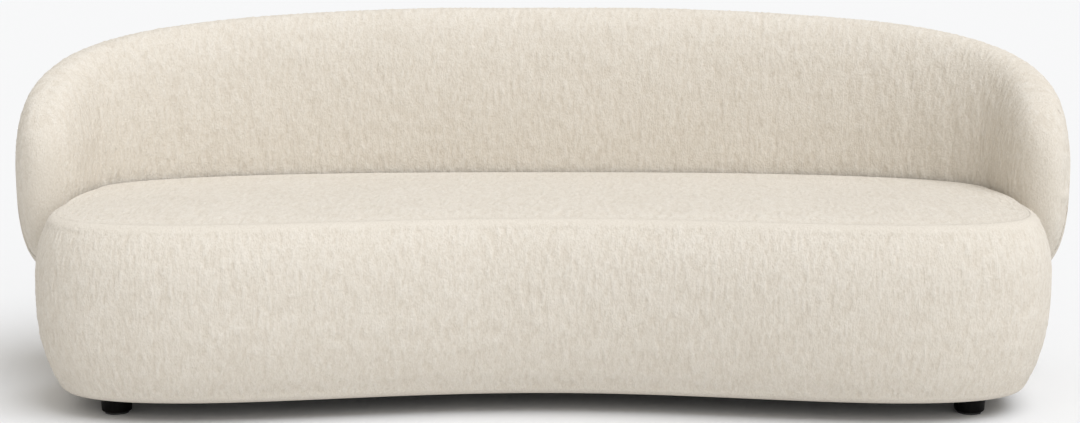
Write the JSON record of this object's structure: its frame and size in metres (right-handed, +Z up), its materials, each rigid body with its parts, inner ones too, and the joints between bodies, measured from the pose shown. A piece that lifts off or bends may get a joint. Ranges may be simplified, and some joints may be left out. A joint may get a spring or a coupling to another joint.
{
  "type": "sofa",
  "caption": "Curved upholstered sofa with a bean-shaped seat block, a thick wrap-around backrest with rounded arms, and short round black wooden legs.",
  "frame": {"origin": "on the floor, at the middle of the sofa's footprint box", "axes": "+X along the sofa's length, to the right seen from the front; the front faces -Y; +Z up"},
  "size_m": [2.268, 0.8839, 0.7868],
  "materials": {
    "boucle": "ivory boucle weave, matt",
    "foam": "cream upholstery foam",
    "plywood": "unfinished birch plywood",
    "hardwood": "unfinished beech",
    "black_wood": "black stained wood, satin",
    "webbing": "woven elastic webbing",
    "dust_cloth": "black non-woven cloth",
    "zinc_steel": "zinc plated",
    "glide_plastic": "black moulded plastic"
  },
  "bodies": {
    "root": {"seat_cover_band": "boucle", "seat_cover_top": "boucle", "seat_top_foam": "foam", "seat_side_foam": "foam", "back_cover_inner": "boucle", "back_cover_outer": "boucle", "back_foam_inner": "foam", "back_foam_outer": "foam", "arm_foam_left": "foam", "arm_foam_right": "foam", "seat_bottom_ring": "plywood", "seat_top_ring": "plywood", "seat_side_panel": "plywood", "seat_posts": "hardwood", "seat_base_rails": "hardwood", "seat_deck_rails": "hardwood", "seat_dowels": "hardwood", "seat_webbing_cross": "webbing", "seat_webbing_long": "webbing", "dust_cover": "dust_cloth", "back_bottom_rail": "plywood", "back_top_rail": "plywood", "back_uprights": "hardwood", "back_outer_panel": "plywood", "back_dowels": "hardwood", "back_webbing": "webbing", "join_blocks": "hardwood", "join_bolts": "zinc_steel", "join_washers": "zinc_steel", "join_inserts": "zinc_steel", "leg_front_left": "black_wood", "leg_front_right": "black_wood", "leg_rear_left": "black_wood", "leg_rear_right": "black_wood", "leg_centre": "black_wood", "hanger_bolts": "zinc_steel", "leg_nuts": "zinc_steel", "leg_glides": "glide_plastic"}
  },
  "joints": []
}
